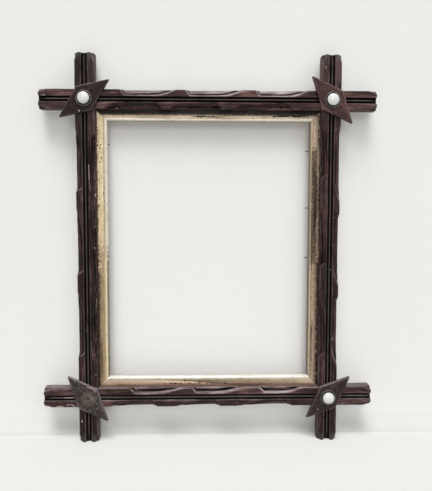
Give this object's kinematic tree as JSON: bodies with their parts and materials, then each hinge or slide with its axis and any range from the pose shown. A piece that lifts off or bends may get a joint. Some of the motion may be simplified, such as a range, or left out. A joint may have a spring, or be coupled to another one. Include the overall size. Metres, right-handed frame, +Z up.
{
  "type": "cross-corner picture frame",
  "caption": "Small carved wooden picture frame with crossed, halved corners, lozenge corner plates, domed porcelain buttons, a gilt slip and a hinged hanging ring at the back.",
  "frame": {"origin": "middle of the plane of the bars' back faces, which lies against the wall", "axes": "+X to the right seen from the front, +Y back towards the wall, +Z up; the frame faces -Y"},
  "size_m": [0.403, 0.0337, 0.4705],
  "materials": {
    "bar_wood": "dark stained and varnished, worn at the edges",
    "plate_wood": "dark stained, worn",
    "gilt": "pale gilding, rubbed through",
    "porcelain": "white glazed porcelain, opaque",
    "collar_metal": "dull tinned plate",
    "iron": "dark iron wire",
    "brass": "tarnished"
  },
  "bodies": {
    "frame": {"left_stile": "bar_wood", "right_stile": "bar_wood", "top_rail": "bar_wood", "bottom_rail": "bar_wood", "slip_left": "gilt", "slip_right": "gilt", "slip_top": "gilt", "slip_bottom": "gilt", "corner_plate_top_left": "plate_wood", "corner_plate_top_right": "plate_wood", "corner_plate_bottom_left": "plate_wood", "corner_plate_bottom_right": "plate_wood", "button_collar_top_left": "collar_metal", "button_collar_top_right": "collar_metal", "button_collar_bottom_right": "collar_metal", "button_top_left": "porcelain", "button_top_right": "porcelain", "button_bottom_right": "porcelain", "button_nail_top_left": "iron", "button_nail_top_right": "iron", "button_nail_bottom_right": "iron", "lap_nails": "iron", "slip_pins": "iron", "glazing_brads": "iron", "hanger_strap": "brass", "hanger_screws": "brass"},
    "ring": {"hanger_ring": "brass"}
  },
  "joints": [
    {"name": "ring_hinge", "type": "hinge", "parent": "frame", "child": "ring", "pos_m": [0, 0.00244, 0.1885], "axis": [1, 0, 0], "range_deg": [0, 180]}
  ]
}
